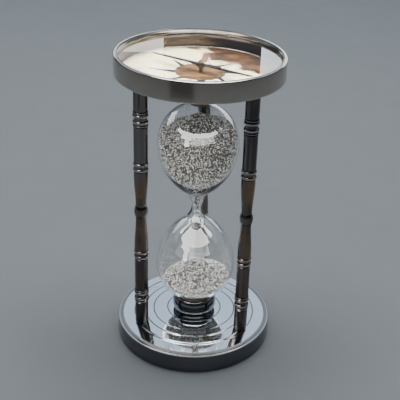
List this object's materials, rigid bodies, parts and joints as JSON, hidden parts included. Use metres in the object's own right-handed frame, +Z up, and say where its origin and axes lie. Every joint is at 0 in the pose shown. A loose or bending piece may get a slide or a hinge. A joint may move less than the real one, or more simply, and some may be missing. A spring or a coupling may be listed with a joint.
{
  "type": "hourglass",
  "caption": "Reversible nautical sand timer: glass bulb between turned columns, with a glazed compass drum at each end.",
  "frame": {"origin": "centre of the lower rim, on the surface that the timer stands on", "axes": "+Z up the timer's axis to the upper compass, -Y towards the viewer with two columns in front, +X to the right"},
  "size_m": [0.08, 0.08, 0.153],
  "materials": {
    "drum_metal": "blackened bronze plating, satin, with bright worn edges",
    "deck_metal": "mirror-polished plating",
    "lens_glass": "clear flat glass",
    "dial_card": "printed cream card, aged",
    "brass": "polished",
    "needle_steel": "blackened, satin",
    "screw_steel": "satin",
    "cup_metal": "polished gunmetal plating",
    "cork": "fine-grained cork",
    "column_bronze": "blackened bronze plating, brown where rubbed, bright on the beads",
    "bulb_glass": "clear blown glass",
    "sand": "coarse glittering silver and black granules"
  },
  "bodies": {
    "frame": {"bottom_ring": "drum_metal", "bottom_deck": "deck_metal", "bottom_bezel": "drum_metal", "bottom_lens": "lens_glass", "bottom_dial": "dial_card", "bottom_dial_ring": "brass", "bottom_pivot": "brass", "bottom_screws": "screw_steel", "bottom_cup": "cup_metal", "bottom_cup_pad": "cork", "top_ring": "drum_metal", "top_deck": "deck_metal", "top_bezel": "drum_metal", "top_lens": "lens_glass", "top_dial": "dial_card", "top_dial_ring": "brass", "top_pivot": "brass", "top_screws": "screw_steel", "top_cup": "cup_metal", "neck_sleeve": "cork", "column_left": "column_bronze", "column_right": "column_bronze", "column_back": "column_bronze", "glass_bulb": "bulb_glass", "bulb_stopper": "cork", "sand_lower": "sand", "sand_upper": "sand"},
    "bottom_needle": {"bottom_needle": "needle_steel", "bottom_needle_cap": "brass"},
    "top_needle": {"top_needle": "needle_steel", "top_needle_cap": "brass"}
  },
  "joints": [
    {"name": "bottom_needle_spin", "type": "hinge", "parent": "frame", "child": "bottom_needle", "pos_m": [0, 0, 0.005], "axis": [0, 0, 1], "continuous": true},
    {"name": "top_needle_spin", "type": "hinge", "parent": "frame", "child": "top_needle", "pos_m": [0, 0, 0.148], "axis": [0, 0, 1], "continuous": true}
  ]
}
